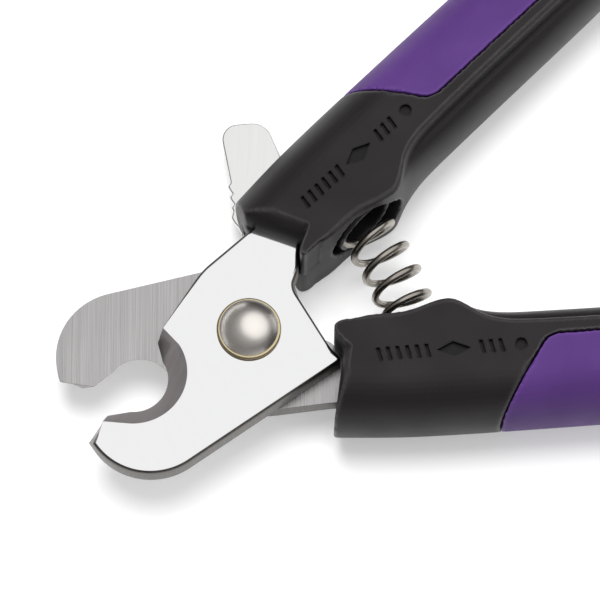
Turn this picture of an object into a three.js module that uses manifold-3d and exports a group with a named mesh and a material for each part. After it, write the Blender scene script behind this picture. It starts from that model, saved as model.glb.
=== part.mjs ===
// A scissor nail clipper for pets: two crossed blades with hooked jaws, turning on a domed
// pivot bolt, two moulded handles with soft grips, a compression spring that opens them, and
// a thin safety guard that swings out behind the jaws.
//
// The pivot axis is Z, and z = 0 is the flat back of the pivot nut, level with the backs of
// both handles. +X runs from the pivot between the handles, +Y towards the upper handle.
// Both halves are the same: the lower one is the upper one turned half round about X.

import * as THREE from 'three';
import { mergeVertices } from 'three/addons/utils/BufferGeometryUtils.js';
import Module from 'manifold-3d';

const wasm = await Module();
wasm.setup();

// Driving dimensions, in millimetres and degrees

const handleDepth = 15;                    // through a handle, from back to front
const handleAngle = 20;                    // each handle from +X, with the jaws open
const handleLength = 122;                  // from the pivot to the tail
const shearPlane = handleDepth / 2;        // where the two blades slide on each other
const runningGap = 0.05;                   // from the shear plane to each blade
const looseGap = 0.3;                      // around a piece that is moulded in or slid in

const bladeThickness = 2.95;
const boreRadius = 2.85;                   // the hole in each blade
const jawDepth = 4.25;                     // radius of the round part of the notch
const jawCentre = new THREE.Vector2(-15.4, 0.9);
const hookRadius = 8.5;                    // the round back of each jaw
const hookCentre = new THREE.Vector2(-15.3, -4.25);
const spineSlope = 10.5;                   // the straight back edge, from X

const headRadius = 3.6;
const headHeight = 2.1;
const flangeRadius = 4.03;
const flangeThickness = 0.6;
const sleeveRadius = boreRadius - 0.05;
const shankRadius = 2;
const nutHeight = 2.3;
const nutAcrossFlats = 7.6;
const guardThickness = 1;
const guardBack = 3.1;                     // height of the guard's back face
const frictionWasherThickness = 0.3;
const waveHeight = 0.16;
const washerThickness = 0.25;

const springPlace = 19.85;                 // from the pivot to the middle of the spring
const springBow = 40;                      // radius that the spring bows to
const springReach = 10.4;                  // half its length, measured along Y
const coilRadius = 3.25;
const coilPitch = 3.22;
const coilPhase = 0.47;                    // how far below the middle a coil stands outermost
const wireRadius = 0.43;
const pocketPlace = 20.9;                  // along the handle
const pocketRadius = 4.35;
const pocketBottom = 4.5;                  // how far the pocket reaches into the handle

const tangInner = 5.3;                     // the tang's edges, measured across the handle
const tangOuter = 9.4;
const tangLength = 48;
const keyHoleRadius = 1.3;
const keyHolePlaces = [26, 40];            // along the handle

const gripThickness = 1.6;
const gripStart = 29.2;                    // where the grip starts on the palm side
const gripCorner = 37;                     // where its front edge turns along the handle
const gripEdge = 5.2;                      // that edge's place across the handle
const gripEnd = 112;

const steel = new THREE.MeshStandardMaterial({ color: 0xc4c2be, roughness: 0.35, metalness: 1 });
const polished = new THREE.MeshStandardMaterial({ color: 0xe6e6e6, roughness: 0.08, metalness: 1 });
const satin = new THREE.MeshStandardMaterial({ color: 0xb8b2a8, roughness: 0.4, metalness: 1 });
const brass = new THREE.MeshStandardMaterial({ color: 0xc2a860, roughness: 0.3, metalness: 1 });
const black = new THREE.MeshStandardMaterial({ color: 0x232123, roughness: 0.6, metalness: 0 });
const purple = new THREE.MeshStandardMaterial({ color: 0x53307f, roughness: 0.7, metalness: 0 });

// Small tools

const radians = THREE.MathUtils.degToRad;

function point(x, y) {
  return new THREE.Vector2(x, y);
}

// Points on an arc, both ends included.
function arc(centre, radius, from, to, steps) {
  return Array.from({ length: steps + 1 }, (_, i) => {
    const angle = radians(from + ((to - from) * i) / steps);
    return point(centre.x + radius * Math.cos(angle), centre.y + radius * Math.sin(angle));
  });
}

// A smooth curve through a few [place, value] stations, as a function of place.
function through(stations) {
  const slope = stations.map((_, i) => {
    const [x0, y0] = stations[Math.max(i - 1, 0)];
    const [x1, y1] = stations[Math.min(i + 1, stations.length - 1)];
    return (y1 - y0) / (x1 - x0);
  });
  return (place) => {
    const last = stations.length - 2;
    const found = stations.findIndex(([x], i) => i > 0 && place <= x) - 1;
    const i = found < 0 ? last : found;
    const [x0, y0] = stations[i];
    const [x1, y1] = stations[i + 1];
    const width = x1 - x0;
    const t = THREE.MathUtils.clamp((place - x0) / width, 0, 1);
    const lean = slope[i] * width * t * (1 - t) ** 2 - slope[i + 1] * width * t ** 2 * (1 - t);
    return y0 + (y1 - y0) * t * t * (3 - 2 * t) + lean;
  };
}

// A closed skin over rings with equal numbers of points. The caps are filled in the plane
// of two of the coordinates, in which every ring runs anticlockwise.
function skin(rings, flatten) {
  const count = rings[0].length;
  const positions = rings.flat().flatMap((p) => [p.x, p.y, p.z]);
  const index = [];
  for (let r = 0; r < rings.length - 1; r += 1) {
    for (let i = 0; i < count; i += 1) {
      const a = r * count + i;
      const b = r * count + ((i + 1) % count);
      index.push(a, b, b + count, a, b + count, a + count);
    }
  }
  const top = (rings.length - 1) * count;
  for (const [a, b, c] of THREE.ShapeUtils.triangulateShape(rings[0].map(flatten), [])) {
    index.push(a, c, b);
  }
  for (const [a, b, c] of THREE.ShapeUtils.triangulateShape(rings.at(-1).map(flatten), [])) {
    index.push(top + a, top + b, top + c);
  }
  const geometry = new THREE.BufferGeometry();
  geometry.setAttribute('position', new THREE.Float32BufferAttribute(positions, 3));
  geometry.setIndex(index);
  return geometry;
}

// A three.js geometry as a solid that can be joined and cut.
function solid(geometry) {
  const bare = geometry.clone();
  bare.deleteAttribute('normal');
  bare.deleteAttribute('uv');
  const merged = mergeVertices(bare, 1e-4);
  return new wasm.Manifold(new wasm.Mesh({
    numProp: 3,
    vertProperties: new Float32Array(merged.attributes.position.array),
    triVerts: new Uint32Array(merged.index.array),
  }));
}

function piece(name, body, material) {
  let geometry = body;
  if (body instanceof wasm.Manifold) {
    const cut = body.getMesh();
    geometry = new THREE.BufferGeometry();
    geometry.setAttribute('position', new THREE.BufferAttribute(cut.vertProperties, 3));
    geometry.setIndex(new THREE.BufferAttribute(cut.triVerts, 1));
    geometry.computeVertexNormals();
  }
  const mesh = new THREE.Mesh(geometry, material);
  mesh.name = name;
  return mesh;
}

function rod(radius, low, high, x = 0, y = 0, sides = 32) {
  const geometry = new THREE.CylinderGeometry(radius, radius, high - low, sides);
  geometry.rotateX(Math.PI / 2);
  geometry.translate(x, y, (low + high) / 2);
  return solid(geometry);
}

function plate(outline, low, high) {
  const options = { depth: high - low, bevelEnabled: false };
  const geometry = new THREE.ExtrudeGeometry(new THREE.Shape(outline), options);
  geometry.translate(0, 0, low);
  return solid(geometry);
}

// From along-and-across the handle to x and y.
function onHandle(along, across) {
  return point(along, across).rotateAround(point(0, 0), radians(handleAngle));
}

// Blades

// The tang, and a grown copy of it for the pocket that holds it.
function tangOutline(grow) {
  return [
    onHandle(11.4 - 3 * grow, 2.8 - 4 * grow),
    onHandle(14.5, tangInner - grow),
    onHandle(tangLength - 1 + grow, tangInner - grow),
    onHandle(tangLength + grow, tangInner + 1 - grow),
    onHandle(tangLength + grow, tangOuter - 1 + grow),
    onHandle(tangLength - 1 + grow, tangOuter + grow),
    onHandle(9.2 - 3 * grow, 9.4 + grow),
  ];
}

// One face's outline, anticlockwise from the tip. The bevel runs along the jaw: it is 0 on
// the sliding face, where the cutting edge lies, and 1 on the outer face.
function bladeOutline(bevel) {
  const tip = point(-23.9 + 1.5 * bevel, -4.4 - 0.1 * bevel);
  const beak = point(-20.3 - 1.1 * bevel, -2.1 - 1.3 * bevel);
  const notch = jawDepth + 2.45 * bevel;
  const cusp = point(-10.75 + 1.05 * bevel, 4 + 0.65 * bevel);
  return [
    tip,
    ...arc(hookCentre, hookRadius, 188, 270 + spineSlope, 9),
    point(9, -8.35),
    point(8.3, -6.3),
    point(7.3, 2.4),
    point(7.6, 3.3),
    point(9, 4.8),
    ...tangOutline(0),
    point(-2.3, 9.6),
    cusp,
    ...arc(jawCentre, notch, 8, -118, 12),
    beak,
  ];
}

function blade() {
  const heights = [runningGap, runningGap + bladeThickness];
  const rings = heights.map((z, bevel) => {
    return bladeOutline(bevel).map((p) => new THREE.Vector3(p.x, p.y, z));
  });
  let body = solid(skin(rings, (p) => point(p.x, p.y)));
  body = body.subtract(rod(boreRadius, -1, 5, 0, 0, 48));
  for (const along of keyHolePlaces) {
    const centre = onHandle(along, (tangInner + tangOuter) / 2);
    body = body.subtract(rod(keyHoleRadius, -1, 5, centre.x, centre.y, 20));
  }
  return body;
}

// Handles

// Places across the handle: the inner crest, the front face's inner rim and the palm.
const innerCrest = through([
  [6, 1.4], [11, 1.7], [17, 0.8], [20, 0.4], [24.5, -0.9], [28.5, -0.1], [33, 0.2],
  [60, 0.4], [80, 0.8], [100, -0.3], [handleLength, -3.5],
]);
const rimStep = through([[23, 0], [26, 0.2], [29.5, 1.9], [34, 2.5], [60, 2.6], [handleLength, 2.2]]);
const palm = through([
  [6, 12.5], [11, 12.9], [20, 13.5], [36, 13.9], [60, 14.2], [80, 14.6], [100, 13.4],
  [handleLength, 9.5],
]);
const ribHeight = through([[23, 7.1], [29, 6], [60, 5.6], [handleLength, 5]]);
const roundPalm = 6.2;                     // depth of the round palm side
const tailStart = 110;

// Half a section, from the inner crest over the front to the palm; the back mirrors it.
function halfSection(along, inset) {
  const crest = innerCrest(along) + inset;
  const rim = innerCrest(along) + rimStep(along) + inset;
  const back = palm(along) - inset;
  const top = handleDepth / 2 - inset;
  const rib = ribHeight(along) - inset;
  const flatEnd = back - roundPalm + inset;
  const ribAngles = [15, 40, 65];
  const palmAngles = [75, 55, 35, 15];
  return [
    ...ribAngles.map((d) => point(rim - (rim - crest) * Math.cos(radians(d)), rib * Math.sin(radians(d)))),
    point(rim, rib),
    point(rim + 0.15, top - 0.35),
    point(rim + 0.6, top),
    point(flatEnd, top),
    ...palmAngles.map((d) => {
      return point(flatEnd + (back - flatEnd) * Math.cos(radians(d)), top * Math.sin(radians(d)));
    }),
  ];
}

// A full section ring. Towards the tail the sections shrink, as half an ellipsoid does.
function sectionRing(along, inset) {
  const half = halfSection(along, inset);
  const ring = [...half.map((p) => point(p.x, -p.y)), ...half.toReversed()];
  const past = Math.max(along - tailStart, 0) / (handleLength - tailStart);
  const size = Math.sqrt(1 - 0.97 * past * past);
  const middle = (innerCrest(along) + palm(along)) / 2;
  return ring.map((p) => {
    const place = onHandle(along, middle + (p.x - middle) * size);
    return new THREE.Vector3(place.x, place.y, p.y * size);
  });
}

function handleSkin(inset) {
  const stations = [
    6, 11, 17, 21, 24.5, 26.5, 28.5, 32, 40, 50, 62, 74, 86, 98, 106, tailStart, 115, 118.5, 121,
    handleLength - inset,
  ];
  const rings = stations.map((along) => sectionRing(along, inset));
  const sideways = radians(handleAngle);
  const flatten = (p) => point(p.y * Math.cos(sideways) - p.x * Math.sin(sideways), p.z);
  return solid(skin(rings, flatten));
}

// What is cut off the nose: its end leans out from both rims to the middle, in a hollow curve.
function noseCutter() {
  const lean = 2;
  const middle = 3;
  const top = handleDepth / 2;
  const hollow = [0, 0.25, 0.5, 0.75, 1].map((t) => {
    return point(lean * t * t, middle + (top - middle) * (1 - (1 - t) ** 1.4));
  });
  const profile = [
    point(-9, -top - 1),
    point(lean, -top - 1),
    ...hollow.toReversed().map((p) => point(p.x, -p.y)),
    ...hollow,
    point(lean, top + 1),
    point(-9, top + 1),
  ];
  const geometry = new THREE.ExtrudeGeometry(new THREE.Shape(profile), { depth: 30, bevelEnabled: false });
  const outer = onHandle(9.3, 14.5);
  const inner = onHandle(11.8, 2.8);
  const run = point(inner.x - outer.x, inner.y - outer.y).normalize();
  const start = point(outer.x - run.x * 6, outer.y - run.y * 6);
  const inward = new THREE.Vector3(-run.y, run.x, 0);
  const frame = new THREE.Matrix4().makeBasis(
    inward,
    new THREE.Vector3(0, 0, 1),
    new THREE.Vector3(run.x, run.y, 0),
  );
  geometry.applyMatrix4(frame);
  geometry.translate(start.x, start.y, 0);
  return solid(geometry);
}

// The inner corner of the nose stands forward of its leaning end. Behind the handle's own
// blade it is the lug that meets the other blade's rear edge when the jaws are open.
function noseCorner() {
  const half = handleDepth / 2;
  const lug = [
    onHandle(10.2, 2.5),
    onHandle(10.2, 1.6),
    onHandle(11.1, 1),
    onHandle(16, 1.2),
    onHandle(16, 5.2),
    onHandle(12.2, 4.6),
  ];
  const cheek = [
    onHandle(11.2, 1.9),
    onHandle(11.4, 1.3),
    onHandle(16, 1.2),
    onHandle(16, 5.2),
    onHandle(13.4, 4.2),
  ];
  return plate(lug, -half, -looseGap).add(plate(cheek, -looseGap - 0.1, half));
}

// Room for the rear corner of the other blade, which swings past the nose as the jaws close.
function cornerRelief() {
  const outline = [point(0, 0), ...arc(point(0, 0), 12.7, 37, 80, 8)];
  return plate(outline, -runningGap - bladeThickness - looseGap, 0);
}

function springPocket() {
  const length = pocketBottom + 6;
  const geometry = new THREE.CylinderGeometry(pocketRadius, pocketRadius, length, 28);
  geometry.translate(pocketPlace, pocketBottom - length / 2, 0);
  geometry.rotateZ(radians(handleAngle));
  return solid(geometry);
}

// The tang's pocket, with two pegs left standing in it that fill the tang's key holes.
function tangPocket() {
  const low = runningGap - looseGap;
  const high = runningGap + bladeThickness + looseGap;
  let pocket = plate(tangOutline(looseGap), low, high);
  for (const along of keyHolePlaces) {
    const centre = onHandle(along, (tangInner + tangOuter) / 2);
    pocket = pocket.subtract(rod(keyHoleRadius - looseGap, -2, 6, centre.x, centre.y, 20));
  }
  return pocket;
}

// The part of a handle that the grip covers, seen from the front.
function gripRegion(gap) {
  const outline = [
    onHandle(gripStart - gap, 16),
    onHandle(gripCorner - gap, gripEdge - gap),
    onHandle(gripEnd - 8, gripEdge - gap),
    onHandle(gripEnd + gap, 7.5),
    onHandle(gripEnd + gap, 20),
    onHandle(gripStart - gap, 20),
  ];
  return plate(outline, -10, 10);
}

function grip() {
  return handleSkin(0).subtract(handleSkin(gripThickness)).intersect(gripRegion(0));
}

// The slot in the upper handle's nose that the guard swings out of.
function guardSlot() {
  const low = guardBack - looseGap - shearPlane;
  const high = guardBack + guardThickness + looseGap - shearPlane;
  const reach = 31;
  const inner = guardOutline().slice(0, 3).map((p) => point(p.x + 0.5, p.y - 0.2));
  const outline = [
    ...inner,
    point(15.4, 23.5),
    ...arc(point(0, 0), reach, 57, 100, 4),
    point(-6, 6),
  ];
  return plate(outline, low, high);
}

function handleBody(hasGuardSlot) {
  let body = handleSkin(0).subtract(gripRegion(looseGap));
  body = body.add(handleSkin(gripThickness + looseGap));
  body = body.subtract(noseCutter()).subtract(cornerRelief()).add(noseCorner());
  body = body.subtract(springPocket()).subtract(tangPocket());
  return hasGuardSlot ? body.subtract(guardSlot()) : body;
}

// Safety guard

// From the hub along the edge by the handle, round the end, and back by the ribbed edge.
function guardOutline() {
  const hub = 5.6;
  const ribs = [17.4, 18.4, 19.4, 20.4].flatMap((y) => {
    const x = 5.75 + (y - 17.4) * 0.27;
    return [point(x, y), point(x + 0.35, y + 0.5)];
  });
  return [
    point(hub * 0.94, hub * 0.34),
    point(10.6, 11),
    point(14, 19),
    ...arc(point(11.8, 24.7), 2.6, 0, 75, 4),
    ...arc(point(10.4, 25.9), 2, 80, 165, 4),
    ...ribs.toReversed(),
    point(5.7, 15.4),
    point(6.2, 13.4),
    point(3.6, 9.8),
    ...arc(point(0, 0), hub, 100, 380, 16).slice(0, -1),
  ];
}

function safetyGuard() {
  const leaf = plate(guardOutline(), guardBack, guardBack + guardThickness);
  return leaf.subtract(rod(shankRadius + 0.1, 0, 9));
}

// Pivot stack

function turned(profile, sides = 40) {
  const geometry = new THREE.LatheGeometry(profile, sides);
  geometry.rotateX(Math.PI / 2);
  return geometry;
}

// A lathe profile is (radius, height) from the lower axis point round to the upper one.
function pivotBolt() {
  const seat = shearPlane + runningGap + bladeThickness + flangeThickness + 0.02;
  const foot = 0.75;
  const rise = (headRadius ** 2 + headHeight ** 2) / (2 * headHeight);
  const sweep = THREE.MathUtils.radToDeg(Math.asin(headRadius / rise));
  const centre = point(0, seat + headHeight - rise);
  const dome = arc(centre, rise, 90 - sweep, 90, 9).slice(0, -1);
  return turned([
    point(0, foot),
    point(shankRadius, foot),
    point(shankRadius, seat),
    ...dome,
    point(0, seat + headHeight),
  ]);
}

function flangedBush() {
  const top = shearPlane + runningGap + bladeThickness + 0.02;
  const low = shearPlane - runningGap - bladeThickness;
  const bore = shankRadius + 0.05;
  return turned([
    point(bore, low),
    point(sleeveRadius, low),
    point(sleeveRadius, top),
    point(flangeRadius - 0.15, top),
    point(flangeRadius, top + 0.2),
    point(flangeRadius - 0.15, top + flangeThickness - 0.02),
    point(bore, top + flangeThickness - 0.02),
    point(bore, low),
  ], 48);
}

function frictionWasher() {
  const low = guardBack + guardThickness + 0.03;
  const high = low + frictionWasherThickness;
  const inner = shankRadius + 0.1;
  return turned([point(inner, low), point(4.9, low), point(4.9, high), point(inner, high), point(inner, low)]);
}

// A spring washer with three waves round it.
function waveWasher() {
  const geometry = turned([point(2.1, 0), point(3.6, 0), point(3.6, washerThickness),
    point(2.1, washerThickness), point(2.1, 0)], 36);
  const place = geometry.attributes.position;
  const middle = (nutHeight + guardBack - washerThickness) / 2;
  for (let i = 0; i < place.count; i += 1) {
    const turn = Math.atan2(place.getY(i), place.getX(i));
    place.setZ(i, place.getZ(i) + middle + waveHeight * Math.cos(3 * turn));
  }
  return geometry;
}

// A closed hexagon nut, blind from the front, with a flat back.
function pivotNut() {
  const corner = nutAcrossFlats / Math.sqrt(3);
  const outline = arc(point(0, 0), corner, 0, 300, 5);
  return plate(outline, 0, nutHeight).subtract(rod(shankRadius + 0.08, 0.65, 5));
}

// Spring

// A right-handed coil whose centre line bows a little away from the pivot.
class CoilLine extends THREE.Curve {
  getPoint(t) {
    const reach = springReach * (2 * t - 1);
    const along = Math.asin(reach / springBow);
    const turn = (2 * Math.PI * (reach + coilPhase)) / coilPitch;
    const radius = springBow + coilRadius * Math.cos(turn);
    const height = shearPlane - coilRadius * Math.sin(turn);
    const x = springPlace - springBow + radius * Math.cos(along);
    return new THREE.Vector3(x, radius * Math.sin(along), height);
  }
}

function handleSpring() {
  const section = new THREE.Shape(arc(point(0, 0), wireRadius, 0, 300, 5));
  const steps = Math.round((2 * springReach * 12) / coilPitch);
  const options = { steps, extrudePath: new CoilLine(), bevelEnabled: false };
  return new THREE.ExtrudeGeometry(section, options);
}

// Assembly

const upperHalf = new THREE.Group();
upperHalf.position.z = shearPlane;
upperHalf.add(piece('front_blade', blade(), polished));
upperHalf.add(piece('upper_handle', handleBody(true), black));
upperHalf.add(piece('upper_grip', grip(), purple));

const lowerHalf = new THREE.Group();
lowerHalf.position.z = shearPlane;
lowerHalf.rotation.x = Math.PI;
lowerHalf.add(piece('rear_blade', blade(), steel));
lowerHalf.add(piece('lower_handle', handleBody(false), black));
lowerHalf.add(piece('lower_grip', grip(), purple));

const pivot = new THREE.Group();
pivot.add(piece('pivot_bolt', pivotBolt(), satin));
pivot.add(piece('flanged_bush', flangedBush(), brass));
pivot.add(piece('friction_washer', frictionWasher(), brass));
pivot.add(piece('wave_washer', waveWasher(), satin));
pivot.add(piece('pivot_nut', pivotNut(), satin));
pivot.add(piece('safety_guard', safetyGuard(), polished));

const clipper = new THREE.Group();
clipper.add(upperHalf, lowerHalf, pivot);
clipper.add(piece('handle_spring', handleSpring(), satin));

export default clipper;
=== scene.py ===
# %% [markdown]
# # A scissor nail clipper
# Two crossed blades turn on a domed bolt, two moulded handles hold them, a coil spring opens
# them and a thin guard swings out behind the jaws. The CAD frame says where every piece is and
# how it moves. This file gives each piece the surface that the real one has.

# %% Load the frame
import bpy
import numpy as np
from mathutils import Matrix


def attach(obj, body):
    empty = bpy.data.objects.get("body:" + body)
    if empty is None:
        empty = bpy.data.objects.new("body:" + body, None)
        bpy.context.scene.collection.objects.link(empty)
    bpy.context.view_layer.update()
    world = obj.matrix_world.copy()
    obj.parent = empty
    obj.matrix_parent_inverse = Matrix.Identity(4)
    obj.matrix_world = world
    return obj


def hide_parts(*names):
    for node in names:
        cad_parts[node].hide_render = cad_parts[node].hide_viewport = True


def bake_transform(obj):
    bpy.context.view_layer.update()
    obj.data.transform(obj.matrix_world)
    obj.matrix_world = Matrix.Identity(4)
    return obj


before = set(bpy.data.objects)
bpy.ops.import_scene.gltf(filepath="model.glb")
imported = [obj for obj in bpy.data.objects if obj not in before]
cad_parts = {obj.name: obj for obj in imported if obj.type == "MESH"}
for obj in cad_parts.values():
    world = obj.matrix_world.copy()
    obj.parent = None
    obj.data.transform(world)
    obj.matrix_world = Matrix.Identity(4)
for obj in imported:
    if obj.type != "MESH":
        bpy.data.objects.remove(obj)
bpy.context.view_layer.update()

# %% [markdown]
# ## Measures
# The shapes are worked out in millimetres, because that is how such a tool is drawn, and become
# metres when a mesh is made. Both halves of the clipper are one moulding and one blank: the
# lower half is the upper one turned half round about X, so each shape is made in one place.

# %% The measures that several pieces share
MM = 0.001
HANDLE_DEPTH = 15
HANDLE_TURN = np.radians(20)
HANDLE_LENGTH = 122
SHEAR_PLANE = HANDLE_DEPTH / 2
RUNNING_GAP = 0.05
BLADE_THICKNESS = 2.95
TANG_INNER = 5.3
TANG_OUTER = 9.4
TANG_LENGTH = 48
BORE_RADIUS = 2.85
SHANK_RADIUS = 2.0
GUARD_BACK, GUARD_FRONT = 3.1, 4.1
SPRING_ALONG = 20.9
UP = np.array([0.0, 0.0, 1.0])
print("handle", HANDLE_LENGTH, "mm long and", HANDLE_DEPTH, "mm deep, blades", BLADE_THICKNESS, "mm thick")

# %% [markdown]
# ## Camera
# The camera looks down on the table from 19 degrees off the vertical, with a long lens, and is
# turned so that the tool lies across the view. Euler angles could place it, but a matrix written
# out column by column says plainly what is what: right, up, and backwards from the lens.

# %% Place the camera
view_turn = np.radians(24.5)
view_tilt = np.radians(19)
view_distance = 600
view_width = 75
view_target = np.array([7.376, 0.814, 10.8])
view_right = np.array([np.cos(view_turn), -np.sin(view_turn), 0])
view_ahead = np.array([np.sin(view_turn), np.cos(view_turn), 0])
view_back = UP * np.cos(view_tilt) - view_ahead * np.sin(view_tilt)
view_up = view_ahead * np.cos(view_tilt) + UP * np.sin(view_tilt)

lens = bpy.data.cameras.new("studio_camera")
lens.sensor_width = 36
lens.lens = lens.sensor_width * view_distance / view_width
camera = bpy.data.objects.new("studio_camera", lens)
bpy.context.scene.collection.objects.link(camera)
columns = np.eye(4)
columns[:3, 0] = view_right
columns[:3, 1] = view_up
columns[:3, 2] = view_back
columns[:3, 3] = (view_target + view_back * view_distance) * MM
camera.matrix_world = Matrix(columns.tolist())
bpy.context.scene.camera = camera
print("lens of", lens.lens, "mm at", view_distance, "mm, seeing", view_width, "mm across")

# %% [markdown]
# ## Light
# Polished steel shows the room more than itself. One wide softbox overhead fills the flat
# blades with an even light, and leaves the domed bolt with a round highlight in darker
# surroundings. A smaller and brighter one lays the soft shadow on the table. Steel would show it
# as a hard white disc, so it is kept out of reflections. A picture of a studio could light the
# scene too, but two lamps and a plain sky say where each light comes from.

# %% A round softbox that faces the tool
def softbox(name, direction, distance, radius, brightness):
    """A disc light at a distance along a direction. Its power is pi times area times brightness."""
    light = bpy.data.lights.new(name, "AREA")
    light.shape = "DISK"
    light.size = 2 * radius * MM
    light.energy = np.pi * np.pi * (radius * MM) ** 2 * brightness
    lamp = bpy.data.objects.new(name, light)
    bpy.context.scene.collection.objects.link(lamp)
    back = np.asarray(direction, float)
    back = back / np.linalg.norm(back)
    side = np.cross(view_ahead, back)
    side = side / np.linalg.norm(side)
    turn = np.eye(4)
    turn[:3, 0] = side
    turn[:3, 1] = np.cross(back, side)
    turn[:3, 2] = back
    turn[:3, 3] = (view_target + back * distance) * MM
    lamp.matrix_world = Matrix(turn.tolist())
    return lamp


over_blades = 0.344 * view_right + 0.209 * view_ahead + 0.915 * UP
over_table = -0.06 * view_right + 0.22 * view_ahead + 0.97 * UP
softbox("overhead_softbox", over_blades, distance=900, radius=900, brightness=0.85)
table_light = softbox("table_light", over_table, distance=900, radius=260, brightness=11)
table_light.visible_glossy = False
print("lights:", [light.name for light in bpy.data.lights])

# %% The room around, pale above and darker towards the horizon
room = bpy.data.worlds.new("studio_room")
room.use_nodes = True
bpy.context.scene.world = room
sky = room.node_tree
sky_place = sky.nodes.new("ShaderNodeTexCoord")
sky_split = sky.nodes.new("ShaderNodeSeparateXYZ")
sky_ramp = sky.nodes.new("ShaderNodeValToRGB")
sky_ramp.color_ramp.elements[0].color = (0.07, 0.065, 0.065, 1)
sky_ramp.color_ramp.elements[1].color = (0.33, 0.33, 0.33, 1)
sky_ramp.color_ramp.elements[1].position = 0.9
sky.links.new(sky_place.outputs["Generated"], sky_split.inputs[0])
sky.links.new(sky_split.outputs["Z"], sky_ramp.inputs[0])
sky.links.new(sky_ramp.outputs[0], sky.nodes["Background"].inputs[0])
sky.nodes["Background"].inputs[1].default_value = 1
bpy.context.scene.view_settings.view_transform = "Standard"
print("room from", round(sky_ramp.color_ramp.elements[0].color[0], 2), "at the horizon to",
      round(sky_ramp.color_ramp.elements[1].color[0], 2), "above")

# %% [markdown]
# ## Tools for shapes
# A piece is a grid of points joined by quads, worked out with whole arrays. Plates are stacks
# of outlines, turned pieces are a profile carried round an axis, and the moulded handles are
# sections carried along the handle. They could be pulled into shape by hand in Edit Mode, but a
# formula keeps the two halves alike and can be changed later by one number.

# %% From points and faces to an object
def new_object(name, points, faces):
    """An object whose mesh has these points, given in millimetres, and these faces."""
    mesh = bpy.data.meshes.new(name)
    mesh.from_pydata((np.asarray(points) * MM).tolist(), [], faces)
    mesh.update()
    made = bpy.data.objects.new(name, mesh)
    bpy.context.scene.collection.objects.link(made)
    return made


def grid_faces(rows, columns):
    """Quads of a grid whose last column joins its first. Point (row, column) has the number
    row * columns + column."""
    row, column = np.meshgrid(np.arange(rows - 1), np.arange(columns), indexing="ij")
    first = row * columns + column
    second = row * columns + (column + 1) % columns
    return np.stack([first, second, second + columns, first + columns], -1).reshape(-1, 4).tolist()


def stack(name, rings):
    """A closed solid over rings of points, each anticlockwise as seen from the last ring's side."""
    rows, columns, _ = rings.shape
    faces = grid_faces(rows, columns)
    faces.append(list(range(columns))[::-1])
    faces.append(list(range((rows - 1) * columns, rows * columns)))
    return new_object(name, rings.reshape(-1, 3), faces)


# %% Outlines: arcs, rounded corners, and an outline moved inward
def arc(centre, radius, start, end, steps):
    """Points at a radius from a centre, from one angle to another, in degrees."""
    angle = np.radians(np.linspace(start, end, steps + 1))
    return np.asarray(centre) + radius * np.stack([np.cos(angle), np.sin(angle)], -1)


def on_handle(along, across):
    """x and y of a place along and across the upper handle: the place turned by the handle's angle."""
    along, across = np.broadcast_arrays(np.asarray(along, float), across)
    cos, sin = np.cos(HANDLE_TURN), np.sin(HANDLE_TURN)
    return np.stack([along * cos - across * sin, along * sin + across * cos], -1)


def rounded(corners, trim):
    """A closed outline with round corners: a parabola from trim before each corner to trim after it.
    Where the trim is 0 the corner stays sharp, as one point."""
    corners = np.asarray(corners, float)
    trim = np.broadcast_to(np.asarray(trim, float), len(corners))[:, None]
    before = corners - np.roll(corners, 1, 0)
    after = np.roll(corners, -1, 0) - corners
    start = corners - before / np.linalg.norm(before, axis=1, keepdims=True) * trim
    end = corners + after / np.linalg.norm(after, axis=1, keepdims=True) * trim
    share = np.linspace(0, 1, 7)[:, None, None]
    curve = (1 - share) ** 2 * start + 2 * share * (1 - share) * corners + share ** 2 * end
    kept = (trim > 0) | (np.arange(7) == 0)
    return curve.transpose(1, 0, 2)[kept]


def moved_inward(outline, distance):
    """An anticlockwise outline moved inward: each point goes along the sum of its two edges' normals,
    divided by one plus their dot product, which keeps both edges at the distance."""
    edge = np.roll(outline, -1, 0) - outline
    edge = edge / np.linalg.norm(edge, axis=1, keepdims=True)
    normal = np.stack([-edge[:, 1], edge[:, 0]], -1)
    before = np.roll(normal, 1, 0)
    mitre = np.maximum(1 + np.sum(normal * before, 1), 0.4)
    return outline + (normal + before) / mitre[:, None] * np.reshape(distance, (-1, 1))


# %% Plates with eased edges
def slab(name, outline, low, high, ease, upper_outline=None, low_ease=None):
    """A plate from low to high. Its edges are quarter rounds: at an angle from the wall, a point is
    in by ease * (1 - cos) and short of the face by ease * (1 - sin). The outline may change on the
    way up."""
    upper_outline = outline if upper_outline is None else upper_outline
    ease = np.broadcast_to(np.asarray(ease, float), len(outline))
    low_ease = ease if low_ease is None else np.broadcast_to(low_ease, len(outline))
    turn = np.radians(np.linspace(90, 0, 6))[:, None]
    foot = low + low_ease * (1 - np.sin(turn))
    head = (high - ease * (1 - np.sin(turn)))[::-1]
    height = np.concatenate([foot, head])
    inward = np.concatenate([low_ease * (1 - np.cos(turn)), (ease * (1 - np.cos(turn)))[::-1]])
    share = ((height - low) / (high - low))[..., None]
    level = outline + (upper_outline - outline) * share
    level = np.stack([moved_inward(ring, step) for ring, step in zip(level, inward)])
    return stack(name, np.concatenate([level, height[..., None]], -1))


def plain_plate(outline, low, high):
    """A sharp-edged plate, used as a cutter."""
    outline = np.asarray(outline)
    level = np.stack([outline, outline])
    height = np.broadcast_to(np.array([low, high])[:, None, None], (2, len(outline), 1))
    return stack("cutter", np.concatenate([level, height], -1))


def rod(radius, low, high, centre=(0, 0), sides=64):
    return plain_plate(arc(centre, radius, 0, 360 - 360 / sides, sides - 1), low, high)


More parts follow.
